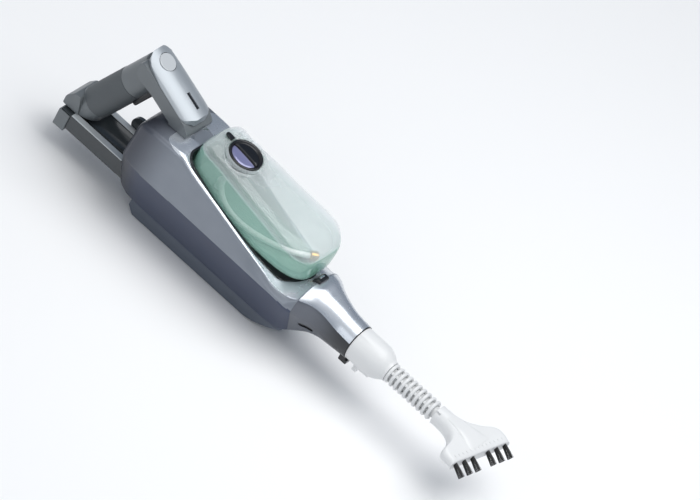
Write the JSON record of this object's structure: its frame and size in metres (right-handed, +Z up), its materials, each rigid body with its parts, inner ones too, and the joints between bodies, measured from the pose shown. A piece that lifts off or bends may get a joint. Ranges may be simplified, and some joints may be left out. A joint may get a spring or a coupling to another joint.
{
  "type": "handheld steam cleaner",
  "caption": "Handheld steam cleaner lying on its back, with a clip-in clear water tank, a looped handle with trigger, and a white jet nozzle that carries a wide tufted brush head.",
  "frame": {"origin": "middle of the bounding box's base, on the plane of the flat rear rail", "axes": "+X along the body towards the nozzle and brush, +Y across, +Z up out of the tank side"},
  "size_m": [0.5814, 0.0982, 0.1759],
  "materials": {
    "graphite_paint": "satin metallic grey paint",
    "silver_paint": "glossy silver paint",
    "handle_grey": "satin mid grey",
    "dark_grey": "dark grey",
    "black_plastic": "black",
    "black_rubber": "matt",
    "clear_tank": "clear tinted plastic",
    "lens": "dark lens",
    "hose": "milky soft tube",
    "brass": "turned",
    "white_plastic": "white",
    "tube_plastic": "white",
    "nylon_black": "stiff nylon tufts",
    "aluminium": "die cast",
    "steel": "zinc plated",
    "pump_winding": "potted coil",
    "board": "circuit board"
  },
  "bodies": {
    "main": {"bay_tray": "dark_grey", "boiler_body": "aluminium", "boiler_cover": "black_plastic", "boiler_mounts": "black_rubber", "boiler_thermostat": "steel", "bridge_plate": "silver_paint", "collar_gasket": "black_rubber", "control_board": "board", "cord_gland": "black_plastic", "feed_tube": "hose", "front_bezel": "silver_paint", "grip_sleeve": "black_rubber", "handle_left_shell": "handle_grey", "handle_right_shell": "handle_grey", "indicator_board": "board", "indicator_lens": "lens", "latch_guide": "dark_grey", "left_casing": "graphite_paint", "neck_front_cover": "silver_paint", "neck_recess_cups": "black_plastic", "neck_shell": "graphite_paint", "outlet_socket": "black_plastic", "power_switch": "black_plastic", "pressure_tube": "hose", "pump_body": "steel", "pump_coil": "pump_winding", "pump_mounts": "black_rubber", "rail_screws": "steel", "rear_end_block": "dark_grey", "rear_end_cover": "handle_grey", "rear_frame": "dark_grey", "rear_frame_trim": "silver_paint", "rear_rail": "handle_grey", "right_casing": "graphite_paint", "seat_seal": "black_rubber", "steam_tube": "steel", "tank_seat": "black_plastic", "thermal_fuse": "brass", "trigger_pin": "steel", "trigger_switch": "black_plastic"},
    "power_button": {"power_button": "handle_grey"},
    "steam_trigger": {"steam_trigger": "black_plastic"},
    "tank": {"tank_front": "clear_tank", "tank_back": "clear_tank", "tank_valve": "brass", "hose_fitting": "white_plastic", "suction_hose": "hose", "suction_weight": "brass", "cap_tether": "black_rubber"},
    "tank_cap": {"tank_cap": "black_plastic", "cap_seal": "black_rubber"},
    "tank_latch": {"tank_latch": "black_plastic"},
    "nozzle_latch": {"nozzle_latch": "black_plastic"},
    "nozzle": {"nozzle_adaptor": "white_plastic", "plug_o_ring": "black_rubber", "jet_tube": "tube_plastic", "nozzle_rib_guard": "white_plastic"},
    "brush": {"brush_head": "white_plastic", "brush_tufts": "nylon_black"},
    "cord_hook": {"cord_hook": "dark_grey"}
  },
  "joints": [
    {"name": "power_press", "type": "slide", "parent": "main", "child": "power_button", "axis": [-0.365, 0, -0.931], "range_m": [0, 0.0018], "stiffness_N_per_m": 400},
    {"name": "trigger_squeeze", "type": "hinge", "parent": "main", "child": "steam_trigger", "pos_m": [-0.22162, 0, 0.12684], "axis": [0, 1, 0], "range_deg": [0, 8], "stiffness_Nm_per_rad": 0.3},
    {"name": "tank_lift", "type": "slide", "parent": "main", "child": "tank", "axis": [0, 0, 1], "range_m": [0, 0.12]},
    {"name": "cap_turn", "type": "hinge", "parent": "tank", "child": "tank_cap", "pos_m": [-0.09769, 0, 0.1475], "axis": [0.127, 0, 0.9919], "range_deg": [0, 90]},
    {"name": "tank_latch_slide", "type": "slide", "parent": "main", "child": "tank_latch", "axis": [1, 0, 0], "range_m": [0, 0.0035], "stiffness_N_per_m": 300},
    {"name": "nozzle_latch_press", "type": "slide", "parent": "main", "child": "nozzle_latch", "axis": [0, 0, 1], "range_m": [0, 0.003], "stiffness_N_per_m": 300},
    {"name": "nozzle_pull", "type": "slide", "parent": "main", "child": "nozzle", "axis": [1, 0, 0], "range_m": [0, 0.06]},
    {"name": "brush_pull", "type": "slide", "parent": "nozzle", "child": "brush", "axis": [1, 0, 0], "range_m": [0, 0.04]},
    {"name": "cord_hook_turn", "type": "hinge", "parent": "main", "child": "cord_hook", "pos_m": [-0.22169, 0.0266, 0.0435], "axis": [0, 1, 0], "range_deg": [-180, 0]}
  ]
}
